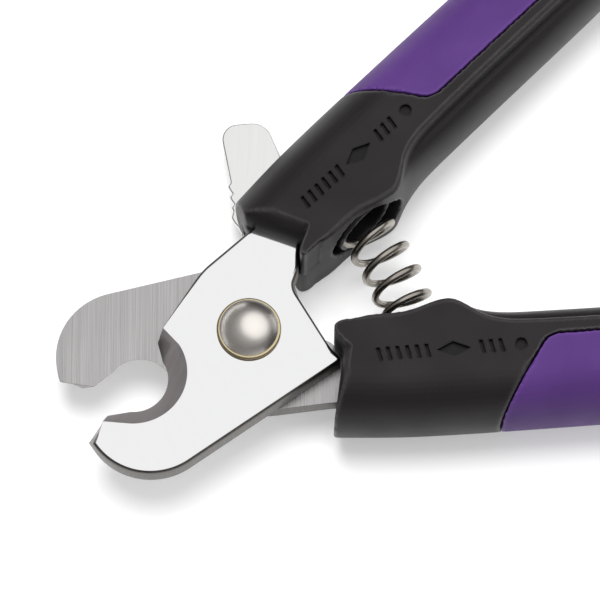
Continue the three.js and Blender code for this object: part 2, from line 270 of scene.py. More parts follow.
def turned(name, profile, sides=96):
    """A profile of (radius, height) points carried round Z. Points on the axis are merged into one."""
    profile = np.asarray(profile, float)
    angle = np.linspace(0, 2 * np.pi, sides, endpoint=False)
    x = profile[:, :1] * np.cos(angle)
    y = profile[:, :1] * np.sin(angle)
    z = np.broadcast_to(profile[:, 1:], x.shape)
    made = new_object(name, np.stack([x, y, z], -1).reshape(-1, 3), grid_faces(len(profile), sides))
    weld(made)
    return made


# %% Joining, cutting, welding and settling
def weld(piece):
    """Merges points that meet, which closes the poles and seams."""
    step = piece.modifiers.new("weld", "WELD")
    step.merge_threshold = 1e-7
    settle(piece)


def settle(piece):
    """Puts the result of a piece's modifiers into its mesh."""
    graph = bpy.context.evaluated_depsgraph_get()
    finished = bpy.data.meshes.new_from_object(piece.evaluated_get(graph))
    piece.modifiers.clear()
    piece.data = finished
    return piece


def combine(piece, tool, operation="DIFFERENCE"):
    """Cuts a closed tool from a piece, joins it, or keeps what they share, and removes the tool."""
    step = piece.modifiers.new("combine", "BOOLEAN")
    step.operation = operation
    step.solver = "MANIFOLD"
    step.object = tool
    settle(piece)
    bpy.data.objects.remove(tool)
    return piece


def moulded(piece, grain, rounds):
    """Gives a cut shape the soft corners of a moulding: its skin is laid again on a grid of cubes,
    and then every point moves halfway to the middle of its neighbours, a few times."""
    skin = piece.modifiers.new("skin", "REMESH")
    skin.mode = "VOXEL"
    skin.voxel_size = grain * MM
    skin.use_smooth_shade = True
    soften = piece.modifiers.new("soften", "SMOOTH")
    soften.factor = 0.5
    soften.iterations = rounds
    return settle(piece)


# %% Shading, and how round the surface is
def read(items, name, width):
    """One value of every item of a mesh, as an array."""
    values = np.zeros(len(items) * width, np.float32)
    items.foreach_get(name, values)
    return values.reshape(-1, width) if width > 1 else values


def shade(piece, sharp=35, flat_faces=True):
    """Smooth shading, with level faces kept flat and corners beyond the angle kept sharp."""
    mesh = piece.data
    level = np.abs(read(mesh.polygons, "normal", 3)[:, 2]) > 0.9999
    mesh.polygons.foreach_set("use_smooth", ~level if flat_faces else np.ones(len(level), bool))
    mesh.set_sharp_from_angle(angle=np.radians(sharp))
    return piece


def note_edges(piece):
    """Stores "edge" at each point: 0.5 on a flat, towards 1 where the surface bulges and towards 0 in a
    hollow. It is the mean, over the edges that leave a point, of how far each leans off the normal,
    divided by its length, which is the surface's curvature."""
    mesh = piece.data
    place = read(mesh.vertices, "co", 3) / MM
    normal = read(mesh.vertex_normals, "vector", 3)
    ends = np.zeros(len(mesh.edges) * 2, np.int32)
    mesh.edges.foreach_get("vertices", ends)
    first, second = ends.reshape(-1, 2).T
    step = place[second] - place[first]
    length = np.maximum(np.sum(step * step, 1), 1e-6)
    total = np.bincount(first, np.sum(step * normal[first], 1) / length, len(place))
    total += np.bincount(second, -np.sum(step * normal[second], 1) / length, len(place))
    count = np.bincount(first, minlength=len(place)) + np.bincount(second, minlength=len(place))
    curve = np.clip(0.5 - 0.5 * total / np.maximum(count, 1), 0, 1)
    mesh.attributes.new("edge", "FLOAT", "POINT").data.foreach_set("value", curve.astype(np.float32))
    return piece


# %% Putting a piece on its half, and handing it over
HALVES = {
    "upper": Matrix.Translation((0, 0, SHEAR_PLANE * MM)),
    "lower": Matrix.Translation((0, 0, SHEAR_PLANE * MM)) @ Matrix.Rotation(np.pi, 4, "X"),
}


def place(piece, half):
    piece.data.transform(HALVES[half])
    return piece


def hand_over(piece, body, node, slot, *finishes):
    """Gives the piece its finishes, hides the CAD part that it stands for and fastens it to the body it
    moves with.
    """
    mesh = piece.data
    chosen = np.zeros(len(mesh.polygons), np.int32)
    if len(finishes) > 1:
        mesh.polygons.foreach_get("material_index", chosen)
    mesh.materials.clear()
    for finish in finishes:
        mesh.materials.append(finish)
    mesh.polygons.foreach_set("material_index", chosen)
    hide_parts(node)
    if body:
        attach(piece, body)
    print(piece.name, "stands for", node, "with", len(piece.data.polygons), "faces")
    return piece


# %% [markdown]
# ## Tools for finishes
# Three effects come back in several materials: fine lines left by a grinding belt, the grain of
# a spark-eroded mould, and a mask for high edges, which hands polish and which get a painted
# highlight, with one for hollows, which get painted shade. They could be painted as images, but
# a node group stays sharp from near and far, and each material sets it for itself. It gives out
# plain values only, and the shader stays in the material.

# %% Nodes and groups in a few words
def feed(tree, node, inputs):
    """An input given as a socket is linked, and any other is set."""
    for key, value in inputs.items():
        if isinstance(value, bpy.types.NodeSocket):
            tree.links.new(value, node.inputs[key])
        else:
            node.inputs[key].default_value = value


def add(tree, kind, inputs, **settings):
    """Adds a shader node with its settings and inputs."""
    node = tree.nodes.new("ShaderNode" + kind)
    for name, value in settings.items():
        setattr(node, name, value)
    feed(tree, node, inputs)
    return node


def new_group(name, inputs, outputs):
    """An empty node group with float inputs, one Vector input called Place, and float outputs."""
    tree = bpy.data.node_groups.new(name, "ShaderNodeTree")
    tree.interface.new_socket("Place", in_out="INPUT", socket_type="NodeSocketVector")
    for label, value in inputs.items():
        socket = tree.interface.new_socket(label, in_out="INPUT", socket_type="NodeSocketFloat")
        socket.default_value = value
    for label in outputs:
        tree.interface.new_socket(label, in_out="OUTPUT", socket_type="NodeSocketFloat")
    return tree, tree.nodes.new("NodeGroupInput").outputs, tree.nodes.new("NodeGroupOutput").inputs


# %% The three shared effects
def make_line_group():
    """Noise squeezed across the lines and drawn out along them, along the Place's second axis."""
    tree, given, result = new_group("ground_lines", {"Width": 0.1, "Length": 8.0}, ["Lines", "Streaks"])
    across = add(tree, "Math", {0: 1.0, 1: given["Width"]}, operation="DIVIDE")
    along = add(tree, "Math", {0: 1.0, 1: given["Length"]}, operation="DIVIDE")
    squeeze = add(tree, "CombineXYZ", {0: across.outputs[0], 1: along.outputs[0], 2: along.outputs[0]})
    drawn = add(tree, "VectorMath", {0: given["Place"], 1: squeeze.outputs[0]}, operation="MULTIPLY")
    fine = add(tree, "TexNoise", {"Vector": drawn.outputs[0], "Scale": 1.0, "Detail": 3.0})
    broad = add(tree, "TexNoise", {"Vector": drawn.outputs[0], "Scale": 0.18, "Detail": 2.0})
    tree.links.new(fine.outputs[0], result["Lines"])
    tree.links.new(broad.outputs[0], result["Streaks"])
    return tree


def make_grain_group():
    """Small rounded pits of one size, and slow clouds for the uneven gloss of a moulding."""
    tree, given, result = new_group("moulded_grain", {"Size": 0.15}, ["Grain", "Clouds"])
    scale = add(tree, "Math", {0: 1.0, 1: given["Size"]}, operation="DIVIDE")
    pits = add(tree, "TexNoise", {"Vector": given["Place"], "Scale": scale.outputs[0], "Detail": 2.0})
    clouds = add(tree, "TexNoise", {"Vector": given["Place"], "Scale": 0.12, "Detail": 3.0})
    tree.links.new(pits.outputs[0], result["Grain"])
    tree.links.new(clouds.outputs[0], result["Clouds"])
    return tree


def make_highlight_and_shade_group():
    """Masks from the edge attribute: above one half for high edges, which get polish and a painted
    highlight, below for hollows, which get painted shade; both broken up by a slow noise."""
    tree, given, result = new_group("polish_highlight_and_shade", {"Edge": 0.5, "Reach": 0.25}, ["Polish_and_highlight", "Painted_shade"])
    patches = add(tree, "TexNoise", {"Vector": given["Place"], "Scale": 0.6, "Detail": 4.0})
    high = add(tree, "Math", {0: given["Edge"], 1: 0.52}, operation="SUBTRACT")
    low = add(tree, "Math", {0: 0.48, 1: given["Edge"]}, operation="SUBTRACT")
    broken = add(tree, "Math", {0: patches.outputs[0], 1: 0.5}, operation="ADD")
    # High edges get polish and a painted highlight; hollows get painted shade.
    for difference, label in ((high, "Polish_and_highlight"), (low, "Painted_shade")):
        ramp = add(tree, "Math", {0: difference.outputs[0], 1: given["Reach"]},
                   operation="DIVIDE", use_clamp=True)
        mask = add(tree, "Math", {0: ramp.outputs[0], 1: broken.outputs[0]},
                   operation="MULTIPLY", use_clamp=True)
        tree.links.new(mask.outputs[0], result[label])
    return tree


ground_lines = make_line_group()
moulded_grain = make_grain_group()
polish_highlight_and_shade = make_highlight_and_shade_group()
print("shared effects:", [group.name for group in (ground_lines, moulded_grain, polish_highlight_and_shade)])


# %% The parts that every material shares
def new_material(name, metallic, turn=0.0, lathe=False):
    """A material with its shader, and object coordinates in millimetres, turned about Z. On a lathe
    piece the first coordinate is the distance from the axis, so that lines go round it."""
    material = bpy.data.materials.new(name)
    material.use_nodes = True
    tree = material.node_tree
    shader = tree.nodes["Principled BSDF"]
    shader.inputs["Metallic"].default_value = metallic
    where = add(tree, "TexCoord", {})
    scaled = add(tree, "Mapping", {"Vector": where.outputs["Object"], "Scale": (1000, 1000, 1000)})
    if lathe:
        level = add(tree, "VectorMath", {0: scaled.outputs[0], 1: (1, 1, 0)}, operation="MULTIPLY")
        radius = add(tree, "VectorMath", {0: level.outputs[0]}, operation="LENGTH")
        return material, tree, shader, add(tree, "CombineXYZ", {0: radius.outputs["Value"]}).outputs[0]
    turned_place = add(tree, "Mapping", {"Vector": scaled.outputs[0], "Rotation": (0, 0, turn)})
    return material, tree, shader, turned_place.outputs[0]


def use_group(tree, group, **inputs):
    node = tree.nodes.new("ShaderNodeGroup")
    node.node_tree = group
    feed(tree, node, inputs)
    return node.outputs


def mixed(tree, share, first, second):
    """A colour between two, by a share from 0 to 1."""
    node = add(tree, "Mix", {0: share, 6: first, 7: second}, data_type="RGBA")
    return node.outputs[2]


def ranged(tree, value, low, high):
    """A value from 0.3 to 0.7, where noise mostly lies, spread from low to high."""
    inputs = {"Value": value, "From Min": 0.3, "From Max": 0.7, "To Min": low, "To Max": high}
    return add(tree, "MapRange", inputs).outputs[0]


def relief(tree, shader, height, strength, depth):
    """Bumps of a depth, in millimetres."""
    inputs = {"Height": height, "Strength": strength, "Distance": depth * MM}
    tree.links.new(add(tree, "Bump", inputs).outputs[0], shader.inputs["Normal"])


# %% [markdown]
# ## Finishes
# The front blade is mirror polished and the rear one is belt ground, with the same ground bevel.
# The bolt is satin and its bush brass, both with lines round them from the lathe. The handles are
# black plastic with a fine mould grain, and the grips a softer purple rubber. Every metal is the
# same recipe with other values, and so are the two mouldings.

# %% Steel and brass
def metal(name, colour, roughness, lines, line_width, contrast, turn=0.0, length=8.0, lathe=False):
    """A metal with lines of a grinding or polishing tool. lines is their depth in millimetres."""
    material, tree, shader, here = new_material(name, 1.0, turn, lathe)
    effect = use_group(tree, ground_lines, Place=here, Width=line_width, Length=length)
    light = (*colour, 1)
    dark = (*(value * (1 - contrast) for value in colour), 1)
    marks = add(tree, "Mix", {0: 0.15, 2: effect["Lines"], 3: effect["Streaks"]}).outputs[0]
    tint = mixed(tree, ranged(tree, marks, 0, 1), dark, light)
    tree.links.new(tint, shader.inputs["Base Color"])
    rough = ranged(tree, effect["Lines"], roughness * 0.8, roughness * 1.25)
    tree.links.new(rough, shader.inputs["Roughness"])
    relief(tree, shader, effect["Lines"], 0.5, lines)
    return material


mirror_steel = metal("mirror_steel", (0.74, 0.74, 0.745), roughness=0.07,
                     lines=0.0004, line_width=0.3, contrast=0.015)
ground_bevel = metal("ground_bevel", (0.50, 0.465, 0.47), roughness=0.48,
                     lines=0.004, line_width=0.1, turn=0.9, length=5, contrast=0.3)
belt_steel = metal("belt_steel", (0.52, 0.51, 0.51), roughness=0.3,
                   lines=0.008, line_width=0.07, turn=view_turn, length=16, contrast=0.42)
# Blade walls: a rough sheared edge, with a dark colour that is painted shade for the shadowed table they
# face.
blanked_and_shaded_steel = metal("blanked_and_shaded_steel", (0.16, 0.15, 0.14), roughness=0.36,
                      lines=0.006, line_width=0.2, length=2, contrast=0.3)
guard_steel = metal("guard_steel", (0.70, 0.70, 0.69), roughness=0.12,
                    lines=0.0006, line_width=0.3, turn=0.5, contrast=0.04)
satin_steel = metal("satin_steel", (0.93, 0.885, 0.83), roughness=0.34,
                    lines=0.001, line_width=0.12, contrast=0.1, lathe=True)
nut_steel = metal("nut_steel", (0.60, 0.59, 0.57), roughness=0.3,
                  lines=0.003, line_width=0.12, contrast=0.2, lathe=True)
brass = metal("brass", (0.62, 0.52, 0.33), roughness=0.2,
              lines=0.001, line_width=0.12, contrast=0.12, lathe=True)
washer_brass = metal("washer_brass", (0.62, 0.48, 0.27), roughness=0.35,
                     lines=0.003, line_width=0.12, contrast=0.2, lathe=True)
washer_steel = metal("washer_steel", (0.5, 0.49, 0.47), roughness=0.32,
                     lines=0.002, line_width=0.1, contrast=0.25, lathe=True)


# %% Plastic and rubber
def moulding(name, colour, highlight_colour, roughness, grain_size, depth, gloss):
    """A moulded plastic: grain over the skin, gloss that clouds slowly, polished edges that are
    made paler as a painted highlight, and hollows darkened as painted shade."""
    material, tree, shader, here = new_material(name, 0.0)
    grain = use_group(tree, moulded_grain, Place=here, Size=grain_size)
    edge = add(tree, "Attribute", {}, attribute_name="edge").outputs["Fac"]
    highlight_and_shade_masks = use_group(tree, polish_highlight_and_shade, Place=here, Edge=edge)
    dark = tuple(value * 0.8 for value in colour)
    clouded = mixed(tree, ranged(tree, grain["Clouds"], 0, 1), (*dark, 1), (*colour, 1))
    # Painted highlight: the high edges are made paler.
    highlighted = mixed(tree, highlight_and_shade_masks["Polish_and_highlight"], clouded, (*highlight_colour, 1))
    # Painted shade: the hollows are darkened to 0.35 of the colour.
    tint = mixed(tree, highlight_and_shade_masks["Painted_shade"], highlighted, (*(value * 0.35 for value in colour), 1))
    tree.links.new(tint, shader.inputs["Base Color"])
    rough = ranged(tree, grain["Clouds"], roughness + 0.05, roughness - 0.05)
    polish = add(tree, "Math", {0: highlight_and_shade_masks["Polish_and_highlight"], 1: 0.12}, operation="MULTIPLY")
    smooth = add(tree, "Math", {0: rough, 1: polish.outputs[0]}, operation="SUBTRACT")
    tree.links.new(smooth.outputs[0], shader.inputs["Roughness"])
    shader.inputs["Specular IOR Level"].default_value = gloss
    relief(tree, shader, grain["Grain"], 0.35, depth)
    return material


# The second colour of each is the painted highlight on high edges.
black_plastic = moulding("black_plastic", (0.0125, 0.0105, 0.0112), (0.04, 0.037, 0.039),
                         roughness=0.46, grain_size=0.22, depth=0.02, gloss=0.27)
purple_rubber = moulding("purple_rubber", (0.083, 0.030, 0.175), (0.10, 0.04, 0.205),
                         roughness=0.6, grain_size=0.25, depth=0.03, gloss=0.33)
print("finishes:", [material.name for material in bpy.data.materials])

# %% [markdown]
# ## Blades
# A blade is stamped and ground from 3 mm sheet: a hooked jaw with a round notch, a straight back
# and a tang that goes into the handle. A bevel modifier can't grind one stretch of an edge wide
# and leave the rest narrow, so the outline is drawn twice, on the sliding face and on the outer
# face, and the plate is stacked between the two.

# %% The blade's outline
HOOK_CENTRE = np.array([-15.3, -4.25])
JAW_CENTRE = np.array([-15.4, 0.9])


def blade_outline(bevel):
    """Anticlockwise from the tip, as groups of corners, each with how much its corners are rounded.
    The bevel is 0 on the sliding face and 1 on the outer one."""
    tang_along = [11.4, 14.5, TANG_LENGTH - 1, TANG_LENGTH, TANG_LENGTH, TANG_LENGTH - 1, 9.2]
    tang_across = [2.8, TANG_INNER, TANG_INNER, TANG_INNER + 1, TANG_OUTER - 1, TANG_OUTER, TANG_OUTER]
    groups = [
        ([(-23.9 + 1.5 * bevel, -4.4 - 0.1 * bevel)], 0),
        (arc(HOOK_CENTRE, 8.5, 188, 280.5, 40), 0),
        ([(9, -8.35), (8.3, -6.3), (7.3, 2.4), (7.6, 3.3), (9, 4.8)], [0.7, 0.6, 0.5, 0.3, 0.4]),
        (on_handle(tang_along, tang_across), 0.3),
        ([(-2.3, 9.6), (-10.75 + 1.05 * bevel, 4 + 0.65 * bevel)], [1.5, 0]),
        (arc(JAW_CENTRE, 4.25 + 2.45 * bevel, 8, -118, 48), 0),
        ([(-20.3 - 1.1 * bevel, -2.1 - 1.3 * bevel)], 0),
    ]
    trim = [np.broadcast_to(trim, len(corners)) for corners, trim in groups]
    return rounded(np.concatenate([corners for corners, _ in groups]), np.concatenate(trim))


# %% A blade with its bevel, its bore and the tang's two holes
def make_blade(name, half):
    """The plate, its holes, and which faces are polished (0), ground (1) and left as blanked (2).
    The blanked walls are painted dark, as shade.
    """
    lower, upper = blade_outline(0), blade_outline(1)
    near_notch = np.linalg.norm(upper - lower, axis=1) > 0.5
    ease = np.where(near_notch, 0.05, 0.45)
    top = RUNNING_GAP + BLADE_THICKNESS
    blade = slab(name, lower, RUNNING_GAP, top, ease, upper, low_ease=0.04)
    combine(blade, rod(BORE_RADIUS, -1, 5))
    for along in (26, 40):
        centre = on_handle(along, (TANG_INNER + TANG_OUTER) / 2)
        combine(blade, rod(1.3, -1, 5, centre, 32))
    level = blade.modifiers.new("level", "DECIMATE")
    level.decimate_type = "DISSOLVE"
    level.angle_limit = np.radians(0.5)
    settle(blade)
    mesh = blade.data
    middle = read(mesh.polygons, "center", 3)[:, :2] / MM
    tilt = read(mesh.polygons, "normal", 3)[:, 2]
    from_jaw = np.linalg.norm(middle - JAW_CENTRE, axis=1)
    bevel = (tilt > 0.15) & (tilt < 0.95) & (from_jaw < 9.5)
    wall = (np.abs(tilt) < 0.9) & ~bevel
    mesh.polygons.foreach_set("material_index", (bevel + 2 * wall).astype(np.int32))
    shade(blade, sharp=20)
    return place(blade, half)


front_blade = make_blade("polished_front_blade", "upper")
hand_over(front_blade, "upper_half", "front_blade", "polished_steel",
          mirror_steel, ground_bevel, blanked_and_shaded_steel)
rear_blade = make_blade("ground_rear_blade", "lower")
hand_over(rear_blade, "lower_half", "rear_blade", "brushed_steel",
          belt_steel, ground_bevel, blanked_and_shaded_steel)

# %% [markdown]
# ## Handles
# A handle is one moulding. Its section runs from a thin rib on the inner side, over a flat front,
# to a round palm side, and changes along the handle. It could be carved from a box, but a loft of
# sections keeps the long lines fair. The nose and the spring's cup are then cut.

# %% A smooth curve through stations, and the handle's own curves
def through(*stations):
    """A cubic between each two stations, whose slope at a station is that of the chord around it."""
    x, y = np.array(stations, float).T
    ahead = np.minimum(np.arange(len(x)) + 1, len(x) - 1)
    behind = np.maximum(np.arange(len(x)) - 1, 0)
    slope = (y[ahead] - y[behind]) / (x[ahead] - x[behind])

    def curve(where):
        i = np.clip(np.searchsorted(x, where) - 1, 0, len(x) - 2)
        width = x[i + 1] - x[i]
        t = np.clip((where - x[i]) / width, 0, 1)
        lean = slope[i] * width * t * (1 - t) ** 2 - slope[i + 1] * width * t ** 2 * (1 - t)
        return y[i] + (y[i + 1] - y[i]) * t * t * (3 - 2 * t) + lean

    return curve


inner_crest = through((6, 1.0), (11, 1.15), (15, 0.6), (18, 0.55), (20, 0.35), (24.5, -0.9), (27.5, -0.6),
                      (31, -0.15), (35, 0), (60, 0.25), (80, 0.6), (100, -0.3), (122, -3.5))
rim_step = through((23, 0), (26, 0.2), (29.5, 1.9), (34, 2.5), (60, 2.6), (122, 2.2))
palm = through((6, 13.2), (11, 13.7), (20, 14.3), (36, 14.5), (60, 14.5), (80, 14.8), (100, 13.5),
               (122, 9.6))
rib_height = through((23, 7.1), (29, 6), (60, 5.6), (122, 5))
ROUND_PALM = 6.2
RIM_ROUND = 0.6
TAIL_START = 110
print("nose from crest", round(float(inner_crest(11)), 2), "to palm", round(float(palm(11)), 2))


# %% The handle's skin
def half_section(along, inset):
    """From the inner crest over the front to the palm. The rib and the palm side are quarter
    ellipses, across = rim - (rim - crest) * cos and height = rib * sin, with a small round at the
    front's rim."""
    crest = inner_crest(along) + inset
    rim = crest + rim_step(along)
    back = palm(along) - inset
    top = HANDLE_DEPTH / 2 - inset
    rib = rib_height(along) - inset
    flat_end = back - ROUND_PALM + inset
    turn = np.linspace(0, np.pi / 2, 14)
    rise = np.linspace(0, 1, 7)[1:]
    curl = 1 - (1 - rise) ** 2
    flat = np.linspace(0, 1, 10)[1:]
    fall = turn[::-1][1:]
    flat_start = rim + RIM_ROUND
    across = [rim - (rim - crest) * np.cos(turn), rim + RIM_ROUND * rise ** 2,
              flat_start + (flat_end - flat_start) * flat, flat_end + (back - flat_end) * np.cos(fall)]
    every_row = np.full_like(rim, top)
    height = [rib * np.sin(turn), rib + (top - rib) * curl,
              every_row * np.ones_like(flat), every_row * np.sin(fall)]
    return np.concatenate(across, 1), np.concatenate(height, 1)


def handle_skin(name, inset):
    """Sections carried along the handle. Beyond the start of the tail they shrink by the square
    root of one less nearly the square of the way gone, as the sections of half an ellipsoid do."""
    tail_length = HANDLE_LENGTH - inset - TAIL_START
    tail = TAIL_START + tail_length * np.sin(np.linspace(0, np.pi / 2, 18)[1:])
    along = np.concatenate([np.linspace(6, TAIL_START, 150), tail])[:, None]
    across, height = half_section(along, inset)
    across = np.concatenate([across, across[:, -2:0:-1]], 1)
    height = np.concatenate([-height, height[:, -2:0:-1]], 1)
    past = np.maximum(along - TAIL_START, 0) / (HANDLE_LENGTH - TAIL_START)
    size = np.sqrt(1 - 0.97 * past ** 2)
    middle = (inner_crest(along) + palm(along)) / 2
    flat = on_handle(along, middle + (across - middle) * size)
    return stack(name, np.concatenate([flat, (height * size)[..., None]], -1))


# %% What is cut and added at the nose
FRONT_END = on_handle([8.95, 12.4], [10.5, 2.8])
BACK_END = on_handle([9.3, 11.8], [14.5, 2.8])


def nose_cutter(side, line, first, last, lean, shift=0.0, low=0.0):
    """Cuts the nose square to a line of two places, on the front (side 1) or the back (side -1), from
    one distance along the line to another. Its edge leans back by lean as it nears the face."""
    top = HANDLE_DEPTH / 2
    share = np.linspace(0, 1, 16)
    height = 3 + (top - 3) * (1 - (1 - share) ** 1.4)
    profile = np.concatenate([
        [(-9, low), (shift, low)],
        np.stack([lean * share ** 2 + shift, height], -1),
        [(lean + shift, top + 1.5), (-9, top + 1.5)],
    ])
    profile = profile if side > 0 else profile[::-1] * (1, -1)
    run = (line[1] - line[0]) / np.linalg.norm(line[1] - line[0])
    inward = np.array([-run[1], run[0]])
    ends = (line[0] + np.outer([first, last], run))[:, None, :] + inward * profile[None, :, :1]
    height = np.broadcast_to(profile[None, :, 1:], (2, len(profile), 1))
    return stack("cutter", np.concatenate([ends, height], -1))


def corner_cutter():
    """The slanted corner that leaves the guard's thumb edge free."""
    return plain_plate(on_handle([12.2, 4, 4, 8.7], [17, 17, 8.8, 8.8]), -9, 9)


def nose_lug():
    """The inner corner that stands forward, and stops the other blade when the jaws are open: a
    block behind the shear plane and a cheek beside the blade in front of it."""
    half = HANDLE_DEPTH / 2
    lug = on_handle([10.5, 10.5, 11.3, 17, 16, 12.2], [2.5, 1.5, 0.95, 1.0, 5.2, 4.6])
    cheek = on_handle([10.55, 10.85, 17, 16, 13.4], [1.7, 1.0, 1.0, 5.2, 4.2])
    rear = plain_plate(rounded(lug, [0.3, 0.3, 0.3, 0, 0, 0.6]), -half, -0.3)
    return rear, plain_plate(rounded(cheek, [0.2, 0.2, 0, 0, 0.4]), -0.4, half)


# %% Room for the spring, the guard and the other blade
def spring_cup(radius, bottom, mouth):
    """A round hole along the across direction."""
    angle = np.linspace(0, 2 * np.pi, 72, endpoint=False)
    along, height = SPRING_ALONG + radius * np.cos(angle), radius * np.sin(angle)
    level = [np.column_stack([on_handle(along, across), height]) for across in (mouth, bottom)]
    return stack("cutter", np.stack(level)[:, ::-1])


def guard_outline():
    """From the hub along the edge by the handle, round the end, and back by the ribbed thumb edge,
    where each rib has three points."""
    rib = np.array([20.4, 18.95, 17.55])
    rib_x = 5.5 + (rib - 17.3) * 0.27
    teeth = np.stack([rib_x + 0.5, rib + 0.6, rib_x, rib + 0.3, rib_x, rib - 0.2], -1)
    return np.concatenate([
        [(5.26, 1.9), (10.6, 11), (14, 19)],
        arc((11.6, 24.9), 2.65, 0, 72, 14),
        arc((10.2, 26.0), 2.1, 80, 168, 14),
        teeth.reshape(-1, 2),
        [(5.0, 16.6), (5.05, 15.8), (5.3, 15.0), (5.3, 14.2), (5.0, 13.2), (3.6, 9.8)],
        arc((0, 0), 5.6, 100, 375, 60),
    ])


def guard_slot():
    """Where the guard lies in the nose and swings out of it, with 0.3 mm above and below."""
    inner = guard_outline()[:3] + (0.5, -0.2)
    outline = np.concatenate([inner, [(15.4, 23.5)], arc((0, 0), 31, 57, 100, 12), [(-6, 6)]])
    return plain_plate(outline, GUARD_BACK - 0.3 - SHEAR_PLANE, GUARD_FRONT + 0.3 - SHEAR_PLANE)


def blade_relief():
    """A shallow sector where the other blade's root passes as the handles close."""
    outline = np.concatenate([[(0, 0)], arc((0, 0), 12.7, 37, 80, 24)])
    return plain_plate(outline, -3.3, 0)


# %% Where the soft grip lies, and the marks that say which handle is which
def grip_region(gap):
    """Seen from the front: a slanted start, a round corner, then along the handle to the tail.
    The gap makes it larger, which leaves a fine parting line."""
    along = [29.2 - gap, 37 - gap, 104, 112 + gap, 112 + gap, 29.2 - gap]
    across = [16, 4.9 - gap, 4.9 - gap, 7.5, 20, 20]
    return plain_plate(rounded(on_handle(along, across), [0, 1.4, 2, 1, 0, 0]), -10, 10)


def handle_marks(side):
    """Debossed bars, a lozenge and a dot, along the handle, on its front (side 1) or its back."""
    low, high = (6.95, 8.5) if side > 0 else (-8.5, -6.95)
    marks = []
    for along in [15.4, 16.6, 17.8, 19.0, 20.2, 21.4, 28.2, 29.4, 30.6]:
        bar = on_handle([along, along + 0.45, along + 0.75, along + 0.3], [5.1, 5.1, 6.8, 6.8])
        marks.append(plain_plate(bar, low, high))
    lozenge = on_handle([22.9, 25, 27.1, 25], [5.95, 5.0, 5.95, 6.9])
    marks.append(plain_plate(lozenge, low, high))
    marks.append(rod(0.75, low, high, on_handle(33.4, 5.95), 40))
    return marks


# %% Mould the two handles
skin_grain = 0.3
GRIP_THICKNESS = 1.6


def make_handle(name, half, has_slot, mark_side):
    """The skin less the grip's bed, then the nose, the lug and the spring's cup with its collar."""
    body = handle_skin(name, 0)
    combine(body, grip_region(gap=0.12))
    combine(body, handle_skin("core", GRIP_THICKNESS + 0.12), "UNION")
    combine(body, nose_cutter(1, FRONT_END if has_slot else BACK_END, first=-10, last=20, lean=0.9))
    combine(body, nose_cutter(-1, BACK_END, first=-6, last=30, lean=0.9, low=-0.01))
    combine(body, blade_relief())
    for part in nose_lug():
        combine(body, part, "UNION")
    combine(body, nose_cutter(1, FRONT_END, first=0.2, last=8.4, lean=1.6, shift=0.3, low=2.3))
    combine(body, spring_cup(5.4, bottom=2.6, mouth=-6))
    combine(body, spring_cup(4.35, bottom=5.0, mouth=0.3), "UNION")
    combine(body, spring_cup(3.78, bottom=4.5, mouth=-6))
    if has_slot:
        combine(body, guard_slot())
        combine(body, corner_cutter())
    moulded(body, skin_grain, 2)
    note_edges(body)
    for mark in handle_marks(mark_side):
        combine(body, mark)
    shade(body, sharp=50, flat_faces=False)
    return place(body, half)


upper_handle = make_handle("upper_handle_moulding", "upper", True, 1)
hand_over(upper_handle, "upper_half", "upper_handle", "black_plastic", black_plastic)
lower_handle = make_handle("lower_handle_moulding", "lower", False, -1)
hand_over(lower_handle, "lower_half", "lower_handle", "black_plastic", black_plastic)

# %% [markdown]
# ## Grips
# The grip is a second, softer plastic moulded round the palm side. Drawn by itself it would have
# to be fitted to the handle. It is the handle's own skin less a copy moved in by its thickness,
# so it lies flush with the handle, with a fine parting line.

# %% Mould the two grips
def make_grip(name, half):
    """The skin, less the skin moved in, where both lie in the grip's region."""
    pad = handle_skin(name, 0)
    combine(pad, handle_skin("core", GRIP_THICKNESS))
    combine(pad, grip_region(gap=0), "INTERSECT")
    moulded(pad, skin_grain, 3)
    note_edges(pad)
    shade(pad, sharp=60, flat_faces=False)
    return place(pad, half)


hand_over(make_grip("upper_grip_pad", "upper"), "upper_half", "upper_grip", "purple_grip", purple_rubber)
hand_over(make_grip("lower_grip_pad", "lower"), "lower_half", "lower_grip", "purple_grip", purple_rubber)

# %% [markdown]
# ## The pivot
# A bolt with a low dome goes through a flanged brass bush. Behind are a thin washer, the guard,
# a spring washer with three waves, and a closed nut. A primitive cylinder and sphere could stand
# for the bolt, but a lathe profile gives the dome, its rim and the shank as one closed surface.

# %% Bolt, bush and washers
seat = 11.12
head_radius, head_height = 3.75, 2.1
dome_radius = (head_radius ** 2 + head_height ** 2) / (2 * head_height)
dome_sweep = np.degrees(np.arcsin(head_radius / dome_radius))
dome = arc((0, seat + head_height - dome_radius), dome_radius, 90 - dome_sweep + 2, 90, 40)
bolt_profile = np.concatenate([
    [(0, 0.75), (SHANK_RADIUS - 0.2, 0.75), (SHANK_RADIUS, 0.95), (SHANK_RADIUS, seat), (3.65, seat)],
    dome[:-1],
    [(0, seat + head_height)],
])
hand_over(shade(turned("domed_bolt", bolt_profile), flat_faces=False), "upper_half", "pivot_bolt",
          "satin_steel", satin_steel)

bush_bore, bush_wall, bush_back = SHANK_RADIUS + 0.05, BORE_RADIUS - 0.05, 4.5
bush_profile = np.concatenate([
    [(bush_bore, bush_back), (bush_wall, bush_back), (bush_wall, 10.52)],
    arc((3.75, 10.81), 0.29, -90, 90, 14),
    [(bush_bore, 11.1), (bush_bore, bush_back)],
])
hand_over(shade(turned("brass_bush", bush_profile), flat_faces=False), "upper_half", "flanged_bush",
          "brass", brass)


def washer_profile(outer, back, front, ease):
    """A flat ring's section, round the bolt, with its outer corners eased."""
    bore = SHANK_RADIUS + 0.1
    return [(bore, back), (outer - ease, back), (outer, back + ease), (outer, front - ease),
            (outer - ease, front), (bore, front), (bore, back)]


thin_washer = turned("thin_washer", washer_profile(4.9, 4.13, 4.43, 0.06))
hand_over(shade(thin_washer), "upper_half", "friction_washer", "brass", washer_brass)

